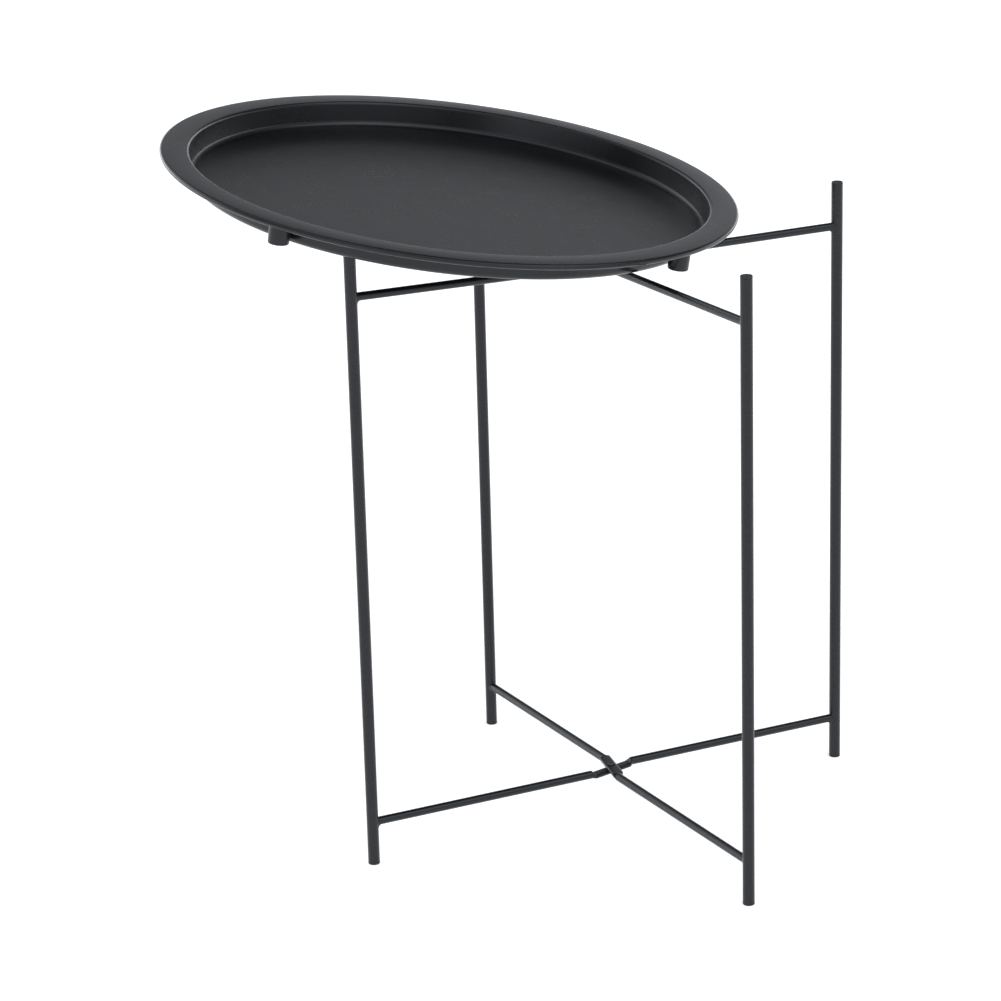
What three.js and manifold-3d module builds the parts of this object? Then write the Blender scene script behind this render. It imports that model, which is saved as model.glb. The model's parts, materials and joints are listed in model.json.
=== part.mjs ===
// Folding tray table: a round steel tray that lifts off two crossed wire frames.
// Units are millimetres, +Z is up. The origin is on the floor under the middle of the whole object.
import * as THREE from "three";
import { mergeVertices } from "three/addons/utils/BufferGeometryUtils.js";
import Module from "manifold-3d";

const wasm = await Module();
wasm.setup();

// ---- Driving dimensions ----
const GAP = 0.3; // clearance between two pieces that touch on the real table

const LEG_HEIGHT = 508; // floor to the top of a leg, end plugs included
const LEG_DIAMETER = 9.5;
const LEG_WALL = 0.8;
const LEG_CIRCLE_RADIUS = 220.4; // pivot axis to a leg's axis
const FRAME_YAW = 45; // degrees from +X to frame A; frame B stands at minus this

const PLUG_CAP = 1.7; // height of the part of an end plug that shows
const PLUG_EDGE = 0.8; // radius of its rounded edge
const PLUG_STEM = 10;

const ROD_DIAMETER = 6.7;
const LOWER_ROD_Z = 36.2;
const UPPER_ROD_Z = 470.7;
const FRONT_LEFT_RISE = 3; // the upper rods are welded on this much higher at these two legs
const FRONT_RIGHT_RISE = 0.8;
const ROD_OFFSET = 4.5; // each half of a rod runs this far beside the pivot, so the frames fold flat
const PLATE_THICKNESS = 3; // the rods are pressed flat where they cross
const PLATE_WIDTH = 10;
const PLATE_HALF_LENGTH = 18;
const PLATE_STEP = 3.5; // length over which the round rod turns into the plate
const WELD_LEG = 2; // width of the fillet weld round a rod's end
const WELD_DROP = 1.5; // the bead is laid from below, so it hangs this much lower than the rod
const WELD_SQUEEZE = 0.84; // its width against its height

const RIVET_DIAMETER = 4;
const RIVET_HOLE = 4.5;
const RIVET_HEAD = 5.8;
const RIVET_HEAD_RISE = 0.6;

const TRAY_RADIUS = 236.2;
const TRAY_SHEET = 0.9;
const TRAY_DEPTH = 20.1; // rim to the dish floor, inside
const RIM_INNER_RADIUS = 212.6; // where the rim turns down into the wall
const FLOOR_RADIUS = 210.8; // where the wall would meet the floor without its fillet
const FLOOR_FILLET = 4.5;
const RIM_FILLET = 2.6;
const HEM_RADIUS = 2.3; // outer radius of the rolled edge
const HEM_TURN = 225; // degrees that the edge is rolled round

const SOCKET_CIRCLE_RADIUS = 222.9; // midway between the dish wall and the rolled edge
const SOCKET_DIAMETER = 17;
const SOCKET_MOUTH_DIAMETER = 16.6;
const SOCKET_BORE = 14.8; // wide enough for a leg that stands off its centre
const SOCKET_LENGTH = 19.5; // rim to the mouth
const SOCKET_ROOF = 2.5;
const SOCKET_EDGE = 0.8; // radius of the mouth's outer edge

// The tray lies askew: its dish rests on the two left legs and leans down onto the upper rods.
const TRAY_X = -138.7; // tray centre from the pivot axis
const TRAY_Y = 39.6;
const TRAY_TILT = 8.82; // degrees about +Y, right side down
const TRAY_TURN = -17.2; // degrees about the tray's own axis

// ---- Derived dimensions ----
const rad = THREE.MathUtils.degToRad;
const legRadius = LEG_DIAMETER / 2;
const rodRadius = ROD_DIAMETER / 2;
const legX = LEG_CIRCLE_RADIUS * Math.cos(rad(FRAME_YAW));
const plateLift = (PLATE_THICKNESS + GAP) / 2;
const crease = PLATE_HALF_LENGTH + PLATE_STEP; // pivot to the bend where a rod turns into its plate
const undersideDepth = TRAY_DEPTH + TRAY_SHEET;
const plugFlat = legRadius - PLUG_EDGE;

// Height of the rim's centre that puts the dish's underside on the left legs' tops.
const trayZ =
  LEG_HEIGHT + GAP + undersideDepth / Math.cos(rad(TRAY_TILT)) -
  Math.tan(rad(TRAY_TILT)) * (TRAY_X + legX - plugFlat);

// The tray's left edge, the right legs, and the tray's front and back bound the object.
const trayLeft =
  TRAY_X - HEM_RADIUS - (TRAY_RADIUS - HEM_RADIUS) * Math.cos(rad(TRAY_TILT)) -
  HEM_RADIUS * Math.sin(rad(TRAY_TILT));
const originX = (trayLeft + legX + legRadius) / 2;
const originY = TRAY_Y;

// ---- Materials ----
const powderCoat = { color: 0x2b2d30, roughness: 0.5, metalness: 0.4 };
const blackPlastic = { color: 0x17181a, roughness: 0.6, metalness: 0 };

// ---- Helpers ----
function addMesh(parent, name, geometry, finish) {
  const mesh = new THREE.Mesh(geometry, new THREE.MeshStandardMaterial(finish));
  mesh.name = name;
  parent.add(mesh);
  return mesh;
}

function toSolid(geometry) {
  const bare = geometry.clone();
  bare.deleteAttribute("normal");
  bare.deleteAttribute("uv");
  const merged = mergeVertices(bare, 1e-4);
  return new wasm.Manifold(
    new wasm.Mesh({
      numProp: 3,
      vertProperties: new Float32Array(merged.attributes.position.array),
      triVerts: new Uint32Array(merged.index.array),
    }),
  );
}

function toGeometry(solid) {
  const mesh = solid.getMesh();
  const geometry = new THREE.BufferGeometry();
  geometry.setAttribute("position", new THREE.BufferAttribute(mesh.vertProperties, 3));
  geometry.setIndex(new THREE.BufferAttribute(mesh.triVerts, 1));
  return geometry;
}

// A profile of [radius, height] pairs turned about +Z.
function turned(profile, segments) {
  const points = profile.map(([radius, height]) => new THREE.Vector2(radius, height));
  return new THREE.LatheGeometry(points, segments).rotateX(Math.PI / 2);
}

// Points of an arc of the [radius, height] plane, angles in degrees.
function arc(centre, radius, from, to, steps) {
  const points = [];
  for (let i = 0; i <= steps; i++) {
    const angle = rad(from + ((to - from) * i) / steps);
    points.push([centre[0] + radius * Math.cos(angle), centre[1] + radius * Math.sin(angle)]);
  }
  return points;
}

// A cylinder about +X, from x = start to x = end.
function cylinderX(radius, start, end, segments) {
  return new THREE.CylinderGeometry(radius, radius, end - start, segments)
    .rotateZ(Math.PI / 2)
    .translate((start + end) / 2, 0, 0);
}

const smooth = (low, high, x) => THREE.MathUtils.smoothstep(x, low, high);

// ---- Rods ----
// A rod runs along X between two legs, one half on each side of the pivot. Between its two
// creases it is pressed flat and crosses over to the other side. The halves run up to the legs
// by the rises given.
function rodSection(s, side, level, rises) {
  const distance = Math.abs(s);
  const outward = Math.max((distance - crease) / (LEG_CIRCLE_RADIUS - crease), 0); // 0 to 1 along a half
  const flat = 1 - smooth(PLATE_HALF_LENGTH, crease, distance);
  return {
    x: s,
    y: side * ROD_OFFSET * (distance < crease ? s / crease : Math.sign(s) * (1 - outward)),
    z: level * plateLift * flat + rises[s < 0 ? 0 : 1] * outward,
    halfWidth: THREE.MathUtils.lerp(rodRadius, PLATE_WIDTH / 2, flat),
    halfHeight: THREE.MathUtils.lerp(rodRadius, PLATE_THICKNESS / 2, flat),
    squareness: THREE.MathUtils.lerp(1, 0.55, flat),
  };
}

function bentRod(side, level, rises) {
  const sides = 16;
  const reach = LEG_CIRCLE_RADIUS - legRadius - GAP;
  const step = [0, 0.2, 0.4, 0.6, 0.8, 1].map((share) => PLATE_HALF_LENGTH + share * PLATE_STEP);
  const half = [6, ...step, reach];
  const stations = [...half.map((s) => -s).reverse(), 0, ...half];
  const sections = stations.map((s) => rodSection(s, side, level, rises));
  const positions = [];
  sections.forEach((section, i) => {
    const before = sections[Math.max(i - 1, 0)];
    const after = sections[Math.min(i + 1, sections.length - 1)];
    const heading = Math.atan2(after.y - before.y, after.x - before.x);
    for (let k = 0; k < sides; k++) {
      const angle = (2 * Math.PI * (k + 0.5)) / sides;
      const c = Math.cos(angle);
      const v = Math.sin(angle);
      const across = section.halfWidth * Math.sign(c) * Math.abs(c) ** section.squareness;
      const up = section.halfHeight * Math.sign(v) * Math.abs(v) ** section.squareness;
      positions.push(
        section.x - across * Math.sin(heading),
        section.y + across * Math.cos(heading),
        section.z + up,
      );
    }
  });
  const index = [];
  for (let i = 0; i + 1 < sections.length; i++) {
    for (let k = 0; k < sides; k++) {
      const a = i * sides + k;
      const b = i * sides + ((k + 1) % sides);
      index.push(a, b, a + sides, b, b + sides, a + sides);
    }
  }
  const last = (sections.length - 1) * sides;
  for (let k = 1; k + 1 < sides; k++) {
    index.push(0, k + 1, k);
    index.push(last, last + k, last + k + 1);
  }
  const rod = new THREE.BufferGeometry();
  rod.setAttribute("position", new THREE.Float32BufferAttribute(positions, 3));
  rod.setIndex(index);
  const hole = new THREE.CylinderGeometry(RIVET_HOLE / 2, RIVET_HOLE / 2, 20, 20).rotateX(Math.PI / 2);
  return toGeometry(toSolid(rod).subtract(toSolid(hole)));
}

// The fillet weld round a rod's end, seated on the leg's curved side. The leg stands at the
// origin and the rod leaves it along +X.
function weldBead() {
  const clear = legRadius + GAP;
  const outer = rodRadius + GAP + WELD_LEG;
  const cone = turned(
    [
      [0, 0],
      [outer, 0],
      [outer, clear],
      [outer - 0.35 * WELD_LEG, clear + 0.5 * WELD_LEG],
      [rodRadius + GAP + 0.25, clear + 1.6 * WELD_LEG],
      [0, clear + 1.6 * WELD_LEG],
    ],
    16,
  )
    .rotateY(Math.PI / 2)
    .scale(1, WELD_SQUEEZE, 1)
    .translate(0, 0, -WELD_DROP);
  const leg = new THREE.CylinderGeometry(clear, clear, 30, 32).rotateX(Math.PI / 2);
  const rod = cylinderX(rodRadius + GAP, -10, 20, 16);
  return toGeometry(toSolid(cone).subtract(toSolid(leg)).subtract(toSolid(rod)));
}

// ---- Rivet ----
// One rivet holds two crossed plates loosely. Its heads are low and the top one is dimpled.
function rivet() {
  const seat = plateLift + PLATE_THICKNESS / 2 + GAP;
  const headRadius = RIVET_HEAD / 2;
  const shank = RIVET_DIAMETER / 2;
  const low = -seat - RIVET_HEAD_RISE;
  const high = seat + RIVET_HEAD_RISE;
  return turned(
    [
      [0, low],
      [0.8 * headRadius, low],
      [headRadius, low + 0.4 * RIVET_HEAD_RISE],
      [headRadius, -seat],
      [shank, -seat],
      [shank, seat],
      [headRadius, seat],
      [headRadius, high - 0.4 * RIVET_HEAD_RISE],
      [0.8 * headRadius, high],
      [0.4 * headRadius, high],
      [0.25 * headRadius, high - 0.4],
      [0, high - 0.4],
    ],
    20,
  );
}

// ---- Legs ----
function legTube() {
  const from = PLUG_CAP + GAP;
  const to = LEG_HEIGHT - PLUG_CAP - GAP;
  const bore = legRadius - LEG_WALL;
  return turned(
    [
      [bore, from],
      [legRadius, from],
      [legRadius, to],
      [bore, to],
      [bore, from],
    ],
    24,
  );
}

// An end plug standing cap down on z = 0, its stem inside the tube.
function endPlug() {
  const stem = legRadius - LEG_WALL - GAP;
  return turned(
    [
      [0, 0],
      ...arc([plugFlat, PLUG_EDGE], PLUG_EDGE, -90, 0, 3),
      [legRadius, PLUG_CAP],
      [stem, PLUG_CAP],
      [stem, PLUG_CAP + PLUG_STEM],
      [0, PLUG_CAP + PLUG_STEM],
    ],
    24,
  );
}

// ---- One wire frame: two legs, four end plugs, two rods and their four welds ----
function wireFrame(letter, yaw, side, level, legNames, upperRises) {
  const frame = new THREE.Group();
  frame.rotation.z = rad(yaw);
  const heights = [["lower", LOWER_ROD_Z, [0, 0]], ["upper", UPPER_ROD_Z, upperRises]];
  legNames.forEach((name, i) => {
    const end = i ? 1 : -1;
    const x = end * LEG_CIRCLE_RADIUS;
    addMesh(frame, "leg_" + name, legTube(), powderCoat).position.x = x;
    addMesh(frame, "foot_plug_" + name, endPlug(), blackPlastic).position.x = x;
    const topPlug = addMesh(frame, "top_plug_" + name, endPlug(), blackPlastic);
    topPlug.position.set(x, 0, LEG_HEIGHT);
    topPlug.rotation.x = Math.PI;
    for (const [height, z, rises] of heights) {
      const weld = addMesh(frame, height + "_weld_" + name, weldBead(), powderCoat);
      const lean = Math.atan2(side * ROD_OFFSET, LEG_CIRCLE_RADIUS - crease);
      weld.position.set(x, 0, z + rises[i]);
      weld.rotation.z = (end > 0 ? Math.PI : 0) - lean;
    }
  });
  for (const [height, z, rises] of heights) {
    addMesh(frame, height + "_rod_" + letter, bentRod(side, level, rises), powderCoat).position.z = z;
  }
  return frame;
}

// ---- Tray ----
// The pressed sheet: dish floor, wall, flat rim and rolled edge, as one closed profile of
// radius and height with the rim's top face at height 0.
function trayPan() {
  const drop = TRAY_DEPTH;
  const draft = Math.atan2(RIM_INNER_RADIUS - FLOOR_RADIUS, drop); // wall's lean from vertical
  const lean = THREE.MathUtils.radToDeg(draft);
  const tangent = (fillet) => fillet * Math.tan((Math.PI / 2 - draft) / 2);
  const floorCentre = [FLOOR_RADIUS - tangent(FLOOR_FILLET), -drop + FLOOR_FILLET];
  const rimCentre = [RIM_INNER_RADIUS + tangent(RIM_FILLET), -RIM_FILLET];
  const hemCentre = [TRAY_RADIUS - HEM_RADIUS, -HEM_RADIUS];
  const hemEnd = 90 - HEM_TURN;
  const inside = HEM_RADIUS - TRAY_SHEET;
  return turned(
    [
      [0, -drop - TRAY_SHEET],
      ...arc(floorCentre, FLOOR_FILLET + TRAY_SHEET, -90, -lean, 4),
      ...arc(rimCentre, RIM_FILLET - TRAY_SHEET, 180 - lean, 90, 3),
      ...arc(hemCentre, inside, 90, hemEnd, 6),
      ...arc(hemCentre, HEM_RADIUS, hemEnd, 90, 8),
      ...arc(rimCentre, RIM_FILLET, 90, 180 - lean, 3),
      ...arc(floorCentre, FLOOR_FILLET, -lean, -90, 4),
      [0, -drop],
    ],
    64,
  );
}

// A socket under the rim that takes a leg's top: open below, its lower edge rounded.
function legSocket() {
  const top = -TRAY_SHEET - GAP;
  const radius = SOCKET_DIAMETER / 2;
  const mouth = SOCKET_MOUTH_DIAMETER / 2;
  const bore = SOCKET_BORE / 2;
  return turned(
    [
      [0, top - SOCKET_ROOF],
      [bore, top - SOCKET_ROOF],
      [bore, -SOCKET_LENGTH],
      ...arc([mouth - SOCKET_EDGE, -SOCKET_LENGTH + SOCKET_EDGE], SOCKET_EDGE, -90, 0, 3),
      [radius, top],
      [0, top],
    ],
    24,
  );
}

function tray() {
  const group = new THREE.Group();
  addMesh(group, "tray_pan", trayPan(), powderCoat);
  for (let i = 0; i < 4; i++) {
    const socket = addMesh(group, "leg_socket_" + (i + 1), legSocket(), powderCoat);
    const angle = rad(90 * i);
    socket.position.set(SOCKET_CIRCLE_RADIUS * Math.cos(angle), SOCKET_CIRCLE_RADIUS * Math.sin(angle), 0);
  }
  group.rotation.set(0, rad(TRAY_TILT), rad(TRAY_TURN), "YXZ");
  group.position.set(TRAY_X, TRAY_Y, trayZ);
  return group;
}

// ---- Assembly ----
const table = new THREE.Group();
table.add(wireFrame("a", FRAME_YAW, 1, -1, ["front_left", "rear_right"], [FRONT_LEFT_RISE, 0]));
table.add(wireFrame("b", -FRAME_YAW, -1, 1, ["rear_left", "front_right"], [0, FRONT_RIGHT_RISE]));
addMesh(table, "lower_rivet", rivet(), powderCoat).position.z = LOWER_ROD_Z;
addMesh(table, "upper_rivet", rivet(), powderCoat).position.z = UPPER_ROD_Z;
table.add(tray());
table.position.set(-originX, -originY, 0);

export default table;
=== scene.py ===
"""Folding tray table: the finished look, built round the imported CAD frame. Metres, +Z up."""

import json
import math

import bpy
import numpy as np
from mathutils import Matrix, Vector


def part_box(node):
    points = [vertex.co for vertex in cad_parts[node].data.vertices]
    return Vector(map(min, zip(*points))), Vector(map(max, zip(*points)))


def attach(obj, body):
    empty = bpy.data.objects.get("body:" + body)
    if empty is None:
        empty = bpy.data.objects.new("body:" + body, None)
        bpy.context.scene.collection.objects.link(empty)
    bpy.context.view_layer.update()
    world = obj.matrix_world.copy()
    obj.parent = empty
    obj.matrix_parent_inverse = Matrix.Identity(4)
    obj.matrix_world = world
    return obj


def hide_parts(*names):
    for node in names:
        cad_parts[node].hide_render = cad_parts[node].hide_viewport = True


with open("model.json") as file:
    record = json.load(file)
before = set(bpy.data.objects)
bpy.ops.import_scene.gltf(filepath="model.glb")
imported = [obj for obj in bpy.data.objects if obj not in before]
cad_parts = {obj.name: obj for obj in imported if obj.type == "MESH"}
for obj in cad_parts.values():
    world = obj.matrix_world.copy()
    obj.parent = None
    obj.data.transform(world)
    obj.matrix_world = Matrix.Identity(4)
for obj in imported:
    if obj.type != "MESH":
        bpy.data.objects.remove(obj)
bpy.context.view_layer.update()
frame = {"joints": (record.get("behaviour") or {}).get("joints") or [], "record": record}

# ---- Dimensions, in metres ----
MM = 0.001
LEG_WALL = 0.8 * MM
PLUG_SEAM = 0.06 * MM  # the hairline between a tube's end and its plug
PLUG_CAP = 1.7 * MM
PLUG_EDGE = 0.8 * MM
PLUG_STEM = 9 * MM

ROD_RADIUS = 3.35 * MM
LOWER_ROD_Z = 36.2 * MM
UPPER_ROD_Z = 470.7 * MM
UPPER_RISES = {"front_left": 3 * MM, "front_right": 0.8 * MM}  # where the upper rods are welded on higher
ROD_OFFSET = 4.5 * MM  # each half of a rod runs this far beside the pivot
PLATE_THICKNESS = 3 * MM
PLATE_WIDTH = 10 * MM
PLATE_HALF_LENGTH = 18 * MM
CREASE = 21.5 * MM  # pivot to the bend where a rod turns into its plate
PLATE_GAP = 0.3 * MM
ROD_BITE = 0.6 * MM  # a rod's end and its weld are sunk this far into the leg

WELD_SIDE = 1.0 * MM  # how far the fillet weld reaches from the rod's side along the leg
WELD_TOP = 0.6 * MM
WELD_BOTTOM = 3.6 * MM

RIVET_RADIUS = 2 * MM
RIVET_HEAD = 2.9 * MM
RIVET_RISE = 0.6 * MM

TRAY_RADIUS = 236.2 * MM
TRAY_SHEET = 0.9 * MM
TRAY_DEPTH = 20.1 * MM
RIM_INNER_RADIUS = 212.6 * MM
FLOOR_RADIUS = 210.8 * MM
FLOOR_FILLET = 4.5 * MM
RIM_FILLET = 2.6 * MM
HEM_RADIUS = 2.3 * MM
HEM_TURN = 225  # degrees

SOCKET_RADIUS = 8.5 * MM
SOCKET_MOUTH = 8.3 * MM
SOCKET_BORE = 7.4 * MM
SOCKET_LENGTH = 19.5 * MM
SOCKET_ROOF = 2.5 * MM
SOCKET_EDGE = 0.8 * MM
SOCKET_FLARE = 0.6 * MM  # the weld that joins a socket to the rim

# ---- What the frame says ----
PIVOT = Vector(next(j for j in frame["joints"] if j["name"] == "fold")["pos_m"])
FLOOR_MOUNT = next(m for m in frame["record"]["mounts"] if m["name"] == "tray_floor")
TRAY_UP = Vector(FLOOR_MOUNT["axis"]).normalized()
RIM_CENTRE = Vector(FLOOR_MOUNT["pos_m"]) + TRAY_UP * TRAY_DEPTH
NODE_BODY = {n: b for b, members in frame["record"]["behaviour"]["bodies"].items() for n in members}
FRAMES = {"a": ("front_left", "rear_right"), "b": ("rear_left", "front_right")}


def box_centre(node):
    low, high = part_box(node)
    return (low + high) / 2


# ---- Mesh helpers ----
def arc(centre, radius, start, end, steps):
    """Points of an arc in the plane of radius and height, angles in degrees."""
    angles = [math.radians(start + (end - start) * i / steps) for i in range(steps + 1)]
    return [(centre[0] + radius * math.cos(a), centre[1] + radius * math.sin(a)) for a in angles]


def make_mesh(name, points, faces, sharp=40):
    """A smooth-shaded object, creased where two faces meet at more than `sharp` degrees."""
    mesh = bpy.data.meshes.new(name)
    mesh.from_pydata([tuple(p) for p in points], [], faces)
    mesh.validate()
    mesh.update()
    mesh.shade_smooth()
    mesh.set_sharp_from_angle(angle=math.radians(sharp))
    add_edge_attribute(mesh)
    obj = bpy.data.objects.new(name, mesh)
    bpy.context.scene.collection.objects.link(obj)
    return obj


def add_edge_attribute(mesh):
    """Stores how sharply each point's surface bulges, 0 to 1, for the painted highlight along edges."""
    count = len(mesh.vertices)
    points = np.zeros(count * 3)
    normals = np.zeros(count * 3)
    mesh.vertices.foreach_get("co", points)
    mesh.vertices.foreach_get("normal", normals)
    points = points.reshape(-1, 3)
    normals = normals.reshape(-1, 3)
    pairs = np.zeros(len(mesh.edges) * 2, int)
    mesh.edges.foreach_get("vertices", pairs)
    a, b = pairs.reshape(-1, 2).T
    along = points[b] - points[a]
    squared = np.maximum((along**2).sum(1), 1e-14)
    bulge = ((normals[b] - normals[a]) * along).sum(1) / squared
    highest = np.zeros(count)
    np.maximum.at(highest, a, bulge)
    np.maximum.at(highest, b, bulge)
    flat_curve, full_curve = 350.0, 1100.0  # per metre: radii of about 2.9 mm and 0.9 mm
    share = np.clip((highest - flat_curve) / (full_curve - flat_curve), 0, 1)
    attribute = mesh.attributes.new("edge_curvature", "FLOAT", "POINT")
    attribute.data.foreach_set("value", share.astype(np.float32))


def lathe(name, profile, segments, sharp=40):
    """A profile of (radius, height) pairs turned about Z. It starts and ends on the axis or closes."""
    points, rings = [], []
    closed = profile[0] == profile[-1]
    for radius, height in profile[:-1] if closed else profile:
        if radius < 1e-9:
            rings.append([len(points)] * segments)
            points.append((0, 0, height))
            continue
        start = len(points)
        rings.append([start + i for i in range(segments)])
        for i in range(segments):
            turn = 2 * math.pi * i / segments
            points.append((radius * math.cos(turn), radius * math.sin(turn), height))
    if closed:
        rings.append(rings[0])
    faces = []
    for ring, following in zip(rings, rings[1:]):
        for i in range(segments):
            j = (i + 1) % segments
            corners = [ring[i], ring[j], following[j], following[i]]
            faces.append(list(dict.fromkeys(corners)))
    return make_mesh(name, points, [f for f in faces if len(f) > 2], sharp)


def loft(name, sections, sharp=40):
    """Closed rings of points joined in order, with a cap on each end."""
    sides = len(sections[0])
    points = [p for section in sections for p in section]
    faces = []
    for i in range(len(sections) - 1):
        for k in range(sides):
            a, b = i * sides + k, i * sides + (k + 1) % sides
            faces.append([a, b, b + sides, a + sides])
    faces.append(list(range(sides))[::-1])
    faces.append([(len(sections) - 1) * sides + k for k in range(sides)])
    return make_mesh(name, points, faces, sharp)


def show(obj, node, material, matrix=None):
    """Puts a finished piece in place of its CAD node, on that node's body."""
    if matrix is not None:
        obj.data.transform(matrix)
    obj.data.materials.append(material)
    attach(obj, NODE_BODY[node])
    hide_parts(node)
    return obj


# ---- Materials ----
class Nodes:
    """A short way to build a material's node tree."""

    def __init__(self, name):
        self.material = bpy.data.materials.new(name)
        self.material.use_nodes = True
        self.tree = self.material.node_tree
        self.shader = self.tree.nodes["Principled BSDF"]
        self.position = self.add("ShaderNodeTexCoord").outputs["Object"]

    def add(self, kind, inputs=None, **settings):
        node = self.tree.nodes.new(kind)
        for key, value in settings.items():
            setattr(node, key, value)
        for key, value in (inputs or {}).items():
            if isinstance(value, bpy.types.NodeSocket):
                self.tree.links.new(value, node.inputs[key])
            else:
                node.inputs[key].default_value = value
        return node

    def noise(self, scale, detail=2.0, roughness=0.5):
        inputs = {"Vector": self.position, "Scale": scale, "Detail": detail, "Roughness": roughness}
        return self.add("ShaderNodeTexNoise", inputs).outputs["Fac"]

    def remap(self, value, low, high, to_low, to_high):
        inputs = {"Value": value, "From Min": low, "From Max": high, "To Min": to_low, "To Max": to_high}
        return self.add("ShaderNodeMapRange", inputs).outputs["Result"]

    def blend(self, share, first, second):
        node = self.add("ShaderNodeMix", data_type="RGBA")
        self.tree.links.new(share, node.inputs["Factor"])
        for socket, value in ((node.inputs[6], first), (node.inputs[7], second)):
            if isinstance(value, bpy.types.NodeSocket):
                self.tree.links.new(value, socket)
            else:
                socket.default_value = value
        return node.outputs[2]

    def math(self, operation, first, second):
        node = self.add("ShaderNodeMath", {0: first, 1: second}, operation=operation)
        node.use_clamp = operation == "MULTIPLY"
        return node.outputs[0]

    def bump(self, height, distance, strength=1.0, normal=None):
        inputs = {"Height": height, "Distance": distance, "Strength": strength}
        if normal is not None:
            inputs["Normal"] = normal
        return self.add("ShaderNodeBump", inputs).outputs["Normal"]

    def link(self, value, socket):
        self.tree.links.new(value, self.shader.inputs[socket])

    def edge_highlight_share(self):
        """Where the painted highlight goes: the sharp edges, broken up by noise."""
        edge = self.add("ShaderNodeAttribute", attribute_name="edge_curvature").outputs["Fac"]
        return self.math("MULTIPLY", edge, self.remap(self.noise(420, 3), 0.42, 0.68, 0, 1))


def powder_coat(name, dark, light, fleck_and_highlight, rough_low, rough_high, grain, specular):
    """Satin black powder coat: a fine orange-peel skin, cloudy gloss, and a painted highlight along its
    sharp edges.
    """
    n = Nodes(name)
    cloud = n.noise(14, 4, 0.6)
    fleck = n.noise(900, 2, 0.6)
    tone = n.blend(n.remap(cloud, 0.35, 0.65, 0, 1), dark, light)
    tone = n.blend(n.remap(fleck, 0.3, 0.75, 0, 0.35), tone, fleck_and_highlight)
    edge = n.edge_highlight_share()
    # Sharp edges blend towards the lighter colour: a painted highlight along the edges
    n.link(n.blend(n.math("MULTIPLY", edge, 0.5), tone, fleck_and_highlight), "Base Color")
    gloss = n.remap(n.noise(55, 5, 0.65), 0.3, 0.7, rough_low, rough_high)
    n.link(n.math("SUBTRACT", gloss, n.math("MULTIPLY", edge, 0.08)), "Roughness")
    peel = n.bump(n.noise(420, 2, 0.5), grain)
    n.link(n.bump(n.noise(1100, 1, 0.5), grain * 0.3, normal=peel), "Normal")
    n.shader.inputs["Metallic"].default_value = 0.0
    n.shader.inputs["IOR"].default_value = 1.5
    n.shader.inputs["Specular IOR Level"].default_value = specular
    n.shader.inputs["Specular Tint"].default_value = (0.96, 0.985, 1.02, 1)
    return n.material


def moulded_plastic(name):
    """Black moulded plastic with a faint spark-eroded grain and a painted highlight along its sharp edges.
    """
    n = Nodes(name)
    edge = n.edge_highlight_share()
    tone = n.blend(n.noise(90, 3), (0.006, 0.007, 0.008, 1), (0.013, 0.014, 0.015, 1))
    # Sharp edges blend towards a lighter grey: a painted highlight along the edges
    n.link(n.blend(n.math("MULTIPLY", edge, 0.6), tone, (0.035, 0.036, 0.038, 1)), "Base Color")
    n.link(n.remap(n.noise(260, 4, 0.6), 0.3, 0.7, 0.5, 0.64), "Roughness")
    n.link(n.bump(n.noise(1900, 2, 0.6), 0.03 * MM), "Normal")
    n.shader.inputs["IOR"].default_value = 1.48
    n.shader.inputs["Specular IOR Level"].default_value = 0.45
    return n.material


DARK = (0.0017, 0.0021, 0.0026, 1)
LIGHT = (0.0028, 0.0033, 0.004, 1)
# The lighter colour serves the coat's fine flecks and the painted highlight along sharp edges
FLECK_AND_EDGE_HIGHLIGHT = (0.013, 0.014, 0.0155, 1)
tray_coat = powder_coat("tray_powder_coat", DARK, LIGHT, FLECK_AND_EDGE_HIGHLIGHT, 0.265, 0.305, 0.011 * MM, 0.4)
frame_coat = powder_coat("frame_powder_coat", DARK, LIGHT, FLECK_AND_EDGE_HIGHLIGHT, 0.27, 0.32, 0.011 * MM, 0.4)
rivet_coat = powder_coat("rivet_powder_coat", DARK, LIGHT, FLECK_AND_EDGE_HIGHLIGHT, 0.26, 0.32, 0.014 * MM, 0.4)
plug_plastic = moulded_plastic("plug_moulded_plastic")


# ---- Legs and their end plugs ----
def leg_profile(radius, low, high):
    bore = radius - LEG_WALL
    lip = 0.12 * MM
    return [
        (bore, low),
        (radius - lip, low),
        (radius, low + lip),
        (radius, high - lip),
        (radius - lip, high),
        (bore, high),
        (bore, low),
    ]


def plug_profile(radius):
    stem = radius - LEG_WALL - 0.05 * MM
    dish = 0.25 * MM  # the cap's end is slightly hollow
    return [
        (0, dish),
        (radius * 0.5, dish * 0.8),
        (radius - 1.7 * PLUG_EDGE, 0),
        *arc((radius - PLUG_EDGE, PLUG_EDGE), PLUG_EDGE, -90, 0, 8),
        (radius, PLUG_CAP - 0.1 * MM),
        (radius - 0.1 * MM, PLUG_CAP),
        (stem, PLUG_CAP),
        (stem, PLUG_CAP + PLUG_STEM),
        (0, PLUG_CAP + PLUG_STEM),
    ]


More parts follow.
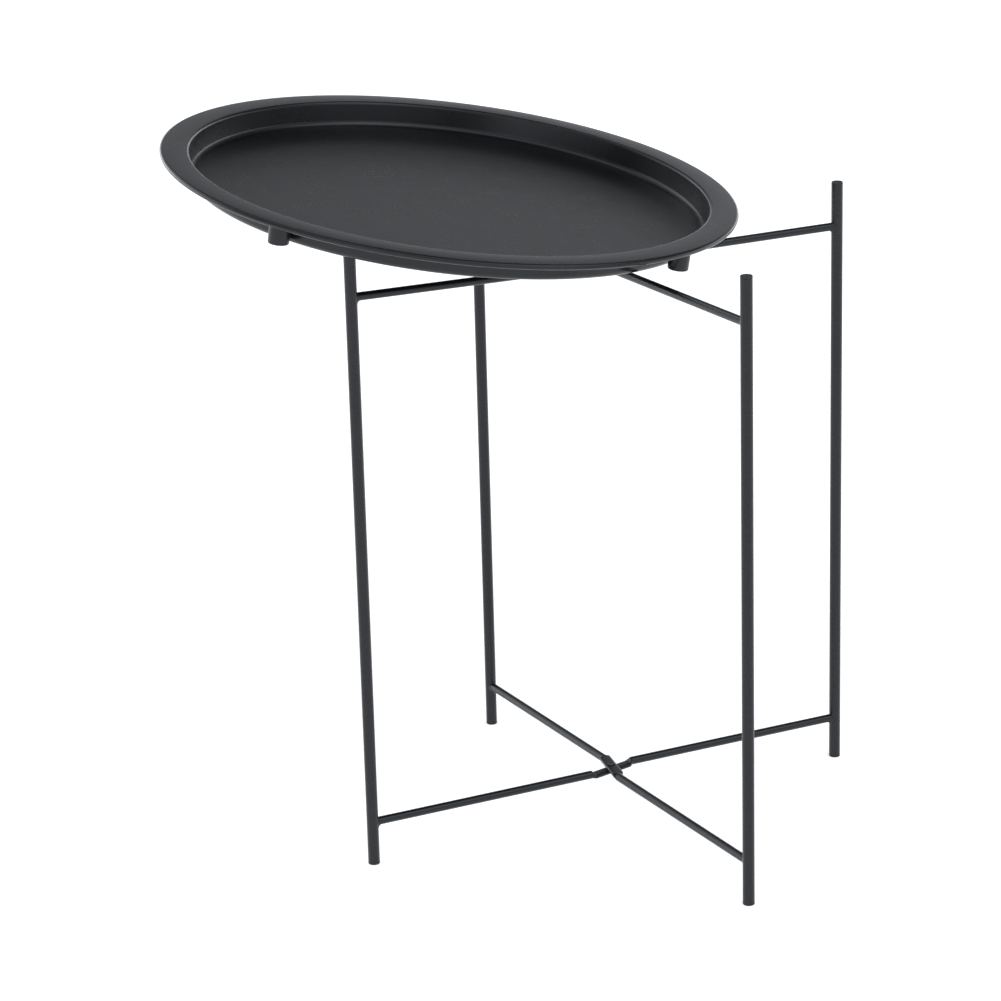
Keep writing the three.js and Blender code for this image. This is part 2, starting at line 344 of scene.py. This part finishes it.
def build_leg(name):
    low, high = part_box("leg_" + name)
    middle = (low + high) / 2
    radius = (high.x - low.x) / 2
    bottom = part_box("foot_plug_" + name)[0].z
    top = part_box("top_plug_" + name)[1].z
    ends = bottom + PLUG_CAP + PLUG_SEAM, top - PLUG_CAP - PLUG_SEAM
    at = Matrix.Translation((middle.x, middle.y, 0))
    tube = lathe("tube_" + name, leg_profile(radius, *ends), 72)
    show(tube, "leg_" + name, frame_coat, at)
    foot = lathe("foot_cap_" + name, plug_profile(radius), 72)
    show(foot, "foot_plug_" + name, plug_plastic, at @ Matrix.Translation((0, 0, bottom)))
    cap = lathe("top_cap_" + name, plug_profile(radius), 72)
    turned_over = Matrix.Translation((0, 0, top)) @ Matrix.Rotation(math.pi, 4, "X")
    show(cap, "top_plug_" + name, plug_plastic, at @ turned_over)


# ---- Rods ----
def smooth(low, high, x):
    t = min(max((x - low) / (high - low), 0), 1)
    return t * t * (3 - 2 * t)


def rod_section(s, reach, side, level, rises, sides):
    """One ring of points at distance s along a rod: round, or pressed flat near the pivot."""
    distance = abs(s)
    outward = max((distance - CREASE) / (reach - CREASE), 0)  # 0 to 1 along a half
    across = s / CREASE if distance < CREASE else math.copysign(1 - outward, s)
    flat = 1 - smooth(PLATE_HALF_LENGTH, CREASE, distance)
    half_width = ROD_RADIUS + (PLATE_WIDTH / 2 - ROD_RADIUS) * flat
    half_height = ROD_RADIUS + (PLATE_THICKNESS / 2 - ROD_RADIUS) * flat
    square = 1 - 0.55 * flat
    lift = level * (PLATE_THICKNESS + PLATE_GAP) / 2 * flat + rises[s > 0] * outward
    ring = []
    for k in range(sides):
        turn = 2 * math.pi * (k + 0.5) / sides
        c, v = math.cos(turn), math.sin(turn)
        y = side * ROD_OFFSET * across + half_width * math.copysign(abs(c) ** square, c)
        z = lift + half_height * math.copysign(abs(v) ** square, v)
        ring.append(Vector((s, y, z)))
    return ring


def build_rod(level_name, height, letter, side, level):
    near, far = (box_centre("leg_" + n) for n in FRAMES[letter])
    rises = [UPPER_RISES.get(n, 0) if level_name == "upper" else 0 for n in FRAMES[letter]]
    span = Vector((far.x - near.x, far.y - near.y, 0))
    reach = span.length / 2
    leg_radius = (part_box("leg_" + FRAMES[letter][0])[1] - near).x
    end = reach - leg_radius + ROD_BITE
    fine = [i * 0.5 * MM for i in range(1, 49)]
    half = [*fine, 0.06, 0.12, end]
    stations = [-s for s in reversed(half)] + [0.0] + half
    rings = [rod_section(s, reach, side, level, rises, 40) for s in stations]
    name = f"{level_name}_rod_{letter}"
    rod = loft("bar_" + name, rings, 50)
    yaw = math.atan2(span.y, span.x)
    middle = Vector(((near.x + far.x) / 2, (near.y + far.y) / 2, height))
    show(rod, name, frame_coat, Matrix.Translation(middle) @ Matrix.Rotation(yaw, 4, "Z"))


# ---- Welds ----
def weld_reach(turn):
    """How far the bead reaches from the rod at this angle round it, with 90 degrees at the top."""
    up = math.sin(turn)
    reach = WELD_SIDE + (WELD_TOP - WELD_SIDE) * max(up, 0) + (WELD_BOTTOM - WELD_SIDE) * max(-up, 0) ** 1.5
    return reach * (1 + 0.08 * math.sin(5 * turn + 0.7) + 0.05 * math.sin(11 * turn))


def weld_section(turn, leg_radius):
    """One closed ring of the bead in the plane through the rod's axis, as (from axis, along rod)."""
    size = weld_reach(turn)
    outer = ROD_RADIUS + size
    across = min(abs(outer * math.cos(turn)), 0.98 * leg_radius)
    toe = math.sqrt(leg_radius**2 - across**2)
    tip = leg_radius + 0.75 * size
    face = []
    for i in range(9):
        t = i / 8
        sag = 0.18 * math.sin(math.pi * t)  # the bead's face is a little hollow
        radial = outer + (ROD_RADIUS - outer) * t - sag * size
        along = toe + (tip - toe) * t - sag * size * 0.6
        face.append((radial, along))
    inside = ROD_RADIUS - ROD_BITE
    return [*face, (inside, tip), (inside, toe - ROD_BITE), (outer, toe - ROD_BITE)]


def build_weld(level_name, height, leg, toward):
    centre = box_centre("leg_" + leg)
    leg_radius = (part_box("leg_" + leg)[1] - centre).x
    turns = 64
    rings, sides = [], 0
    for i in range(turns):
        turn = 2 * math.pi * i / turns
        section = weld_section(turn, leg_radius)
        sides = len(section)
        rings.append([(along, r * math.cos(turn), r * math.sin(turn)) for r, along in section])
    points = [p for ring in rings for p in ring]
    faces = []
    for i in range(turns):
        for k in range(sides):
            a, b = i * sides + k, i * sides + (k + 1) % sides
            c, d = (i + 1) % turns * sides + (k + 1) % sides, (i + 1) % turns * sides + k
            faces.append([a, d, c, b])
    node = f"{level_name}_weld_{leg}"
    weld = make_mesh("bead_" + node, points, faces, 60)
    yaw = math.atan2(toward.y, toward.x)
    at = Matrix.Translation((centre.x, centre.y, height)) @ Matrix.Rotation(yaw, 4, "Z")
    show(weld, node, frame_coat, at)


# ---- Rivets ----
def build_rivet(node, height):
    seat = PLATE_THICKNESS + PLATE_GAP / 2
    top = seat + RIVET_RISE
    edge = 0.25 * MM
    rim = arc((RIVET_HEAD - edge, top - edge), edge, 0, 90, 5)
    dimple = [
        (1.2 * MM, top),
        (0.8 * MM, top - 0.25 * MM),
        (0.3 * MM, top - 0.4 * MM),
        (0, top - 0.42 * MM),
    ]
    head = [(RIVET_HEAD, seat + 0.02 * MM), *rim, *dimple]
    formed = [(0, -top), *[(r, -z) for r, z in reversed(head[: 1 + len(rim)])]]
    profile = [*formed, (RIVET_RADIUS, -seat), (RIVET_RADIUS, seat), *head]
    rivet = lathe("pin_" + node, profile, 48)
    show(rivet, node, rivet_coat, Matrix.Translation((PIVOT.x, PIVOT.y, height)))


# ---- Tray ----
def tray_matrix():
    """Tray frame to row frame: rim centre, its normal, and X towards leg_socket_1."""
    toward = box_centre("leg_socket_1") - RIM_CENTRE
    x_axis = (toward - TRAY_UP * toward.dot(TRAY_UP)).normalized()
    y_axis = TRAY_UP.cross(x_axis)
    turn = Matrix((x_axis, y_axis, TRAY_UP)).transposed().to_4x4()
    return Matrix.Translation(RIM_CENTRE) @ turn


def pan_profile():
    draft = math.atan2(RIM_INNER_RADIUS - FLOOR_RADIUS, TRAY_DEPTH)
    lean = math.degrees(draft)
    tangent = math.tan((math.pi / 2 - draft) / 2)
    floor_centre = (FLOOR_RADIUS - FLOOR_FILLET * tangent, -TRAY_DEPTH + FLOOR_FILLET)
    rim_centre = (RIM_INNER_RADIUS + RIM_FILLET * tangent, -RIM_FILLET)
    hem_centre = (TRAY_RADIUS - HEM_RADIUS, -HEM_RADIUS)
    hem_end = 90 - HEM_TURN
    floor_rings = [0.05, 0.1, 0.15, 0.185]
    under = -TRAY_DEPTH - TRAY_SHEET
    return [
        (0, under),
        *[(r, under) for r in floor_rings],
        *arc(floor_centre, FLOOR_FILLET + TRAY_SHEET, -90, -lean, 14),
        *arc(rim_centre, RIM_FILLET - TRAY_SHEET, 180 - lean, 90, 8),
        *arc(hem_centre, HEM_RADIUS - TRAY_SHEET, 90, hem_end, 24),
        *arc(hem_centre, HEM_RADIUS, hem_end, 90, 32),
        *arc(rim_centre, RIM_FILLET, 90, 180 - lean, 12),
        *arc(floor_centre, FLOOR_FILLET, -lean, -90, 14),
        *[(r, -TRAY_DEPTH) for r in reversed(floor_rings)],
        (0, -TRAY_DEPTH),
    ]


def socket_profile():
    top = -TRAY_SHEET
    edge_centre = (SOCKET_MOUTH - SOCKET_EDGE, -SOCKET_LENGTH + SOCKET_EDGE)
    return [
        (0, top - SOCKET_ROOF),
        (SOCKET_BORE, top - SOCKET_ROOF),
        (SOCKET_BORE, -SOCKET_LENGTH),
        *arc(edge_centre, SOCKET_EDGE, -90, 0, 12),
        (SOCKET_RADIUS, top - 2.6 * SOCKET_FLARE),
        *arc((SOCKET_RADIUS + SOCKET_FLARE, top - SOCKET_FLARE), SOCKET_FLARE, 180, 90, 6),
        (0, top),
    ]


def build_tray():
    place = tray_matrix()
    pan = lathe("pan", pan_profile(), 384, 60)
    show(pan, "tray_pan", tray_coat, place)
    for i in range(1, 5):
        node = f"leg_socket_{i}"
        offset = place.inverted() @ box_centre(node)
        cup = lathe(f"socket_cup_{i}", socket_profile(), 72)
        show(cup, node, tray_coat, place @ Matrix.Translation((offset.x, offset.y, 0)))


# ---- The table ----
for level_name, height in (("lower", LOWER_ROD_Z), ("upper", UPPER_ROD_Z)):
    for letter, side, level in (("a", 1, -1), ("b", -1, 1)):
        build_rod(level_name, height, letter, side, level)
        for leg in FRAMES[letter]:
            inward = Vector((PIVOT.x, PIVOT.y, 0)) - box_centre("leg_" + leg)
            rise = UPPER_RISES.get(leg, 0) if level_name == "upper" else 0
            build_weld(level_name, height + rise, leg, inward)
    build_rivet(level_name + "_rivet", height)
for leg in (*FRAMES["a"], *FRAMES["b"]):
    build_leg(leg)
build_tray()


# ---- Stage: floor, light and camera ----
def build_floor():
    half = 30  # wide enough that its edge shows only from a very low camera
    corners = [(-half, -half, 0), (half, -half, 0), (half, half, 0), (-half, half, 0)]
    mesh = bpy.data.meshes.new("floor")
    mesh.from_pydata(corners, [], [[0, 1, 2, 3]])
    floor = bpy.data.objects.new("floor", mesh)
    bpy.context.scene.collection.objects.link(floor)
    material = bpy.data.materials.new("floor_paper")
    material.use_nodes = True
    shader = material.node_tree.nodes["Principled BSDF"]
    shader.inputs["Base Color"].default_value = (0.82, 0.82, 0.82, 1)
    shader.inputs["Roughness"].default_value = 0.9
    shader.inputs["Specular IOR Level"].default_value = 0.1
    # Lit from within as well, so that it stays paper white under the panels
    shader.inputs["Emission Color"].default_value = (1, 1, 1, 1)
    shader.inputs["Emission Strength"].default_value = 0.6
    mesh.materials.append(material)


# Soft light panels: azimuth and elevation of the middle, half width and half height, all in
# degrees, and brightness. Azimuth 0 is in front of the table, 90 on its right.
PANELS = (
    (0, 30, 60, 16, 0.4),  # front
    (30, 14, 45, 10, 0.75),  # right of the camera
    (60, 42, 30, 16, 0.94),  # right front, raised
    (90, 42, 30, 16, 1.32),  # right, raised
    (110, 3, 70, 9, 0.9),  # right, standing on the floor
    (190, 0, 65, 12, 1.0),  # back wall
    (205, 0, 60, 7, 0.5),  # foot of the back wall
    (190, 10, 65, 14, 0.14),  # back wall, second tier
    (190, 28, 65, 14, 0.13),  # back wall, top
    (255, 3, 30, 9, 2.9),  # strong strip light low on the left
    (255, 27, 30, 12, 1.4),  # left, raised
    (330, 3, 30, 9, 2.3),  # strip light low on the left front
    (60, 62, 90, 16, 0.6),  # overhead, right
    (300, 62, 90, 16, 0.85),  # overhead, left
)
PANEL_EDGE = 0.4  # half the width of a panel's soft edge, as a share of its half size
LIGHT_TINT = (0.965, 1.0, 1.05, 1)  # slightly cool
STUDIO_GLOW = 0.02  # what the dark ceiling and the gaps between the panels still give


def build_world():
    """A dark studio lit by soft-edged panels that stand all round the table."""
    world = bpy.data.worlds.new("studio")
    bpy.context.scene.world = world
    world.use_nodes = True
    tree = world.node_tree

    def add(kind, *inputs, **settings):
        node = tree.nodes.new(kind)
        for key, value in settings.items():
            setattr(node, key, value)
        for socket, value in zip(node.inputs, inputs):
            if isinstance(value, bpy.types.NodeSocket):
                tree.links.new(value, socket)
            else:
                socket.default_value = value
        return node.outputs[0]

    def calc(operation, *inputs):
        return add("ShaderNodeMath", *inputs, operation=operation)

    def soft_edge(offset, half):
        """1 within the panel, fading to 0 over its edge."""
        distance = calc("DIVIDE", calc("ABSOLUTE", offset), half)
        inner, outer = 1 - PANEL_EDGE, 1 + PANEL_EDGE
        return add("ShaderNodeMapRange", distance, inner, outer, 1, 0, interpolation_type="SMOOTHSTEP")

    direction = tree.nodes.new("ShaderNodeTexCoord").outputs["Generated"]
    split = tree.nodes.new("ShaderNodeSeparateXYZ")
    tree.links.new(direction, split.inputs[0])
    x, y, z = split.outputs
    turn = calc("ARCTAN2", x, calc("MULTIPLY", y, -1.0))
    height = calc("ARCSINE", z)
    total = calc("ADD", STUDIO_GLOW, 0.0)
    for azimuth, elevation, half_width, half_height, brightness in PANELS:
        aside = calc("WRAP", calc("SUBTRACT", turn, math.radians(azimuth)), math.pi, -math.pi)
        above = calc("SUBTRACT", height, math.radians(elevation))
        across = soft_edge(aside, math.radians(half_width))
        along = soft_edge(above, math.radians(half_height))
        total = calc("MULTIPLY_ADD", calc("MULTIPLY", across, along), brightness, total)
    background = tree.nodes["Background"]
    background.inputs["Color"].default_value = LIGHT_TINT
    tree.links.new(total, background.inputs["Strength"])


# Where the camera stands, seen from the point that it looks at; azimuth as for the panels
CAMERA_AZIMUTH = 18.161  # degrees
CAMERA_ELEVATION = 18.224
CAMERA_ROLL = -1.575
CAMERA_DISTANCE = 2.7871
CAMERA_LENS = 123.25  # millimetres, on a 36 mm sensor
TARGET_HEIGHT = 0.27359
TARGET_SIDESTEP = 0.086283  # the target lies this far to the left of the pivot


def build_camera():
    azimuth = math.radians(CAMERA_AZIMUTH)
    elevation = math.radians(CAMERA_ELEVATION)
    roll = math.radians(CAMERA_ROLL)
    level = math.cos(elevation)
    right = Vector((math.cos(azimuth), math.sin(azimuth), 0))
    back = Vector((math.sin(azimuth) * level, -math.cos(azimuth) * level, math.sin(elevation)))
    up = back.cross(right)
    target = Vector((PIVOT.x, PIVOT.y, TARGET_HEIGHT)) - TARGET_SIDESTEP * right
    across = math.cos(roll) * right + math.sin(roll) * up
    upward = math.cos(roll) * up - math.sin(roll) * right
    camera = bpy.data.cameras.new("camera")
    camera.sensor_width = 36
    camera.lens = CAMERA_LENS
    camera.clip_start, camera.clip_end = 0.1, 100
    holder = bpy.data.objects.new("camera", camera)
    bpy.context.scene.collection.objects.link(holder)
    turn = Matrix((across, upward, back)).transposed().to_4x4()
    holder.matrix_world = Matrix.Translation(target + back * CAMERA_DISTANCE) @ turn
    bpy.context.scene.camera = holder


build_floor()
build_world()
build_camera()
bpy.context.scene.view_settings.view_transform = "Standard"
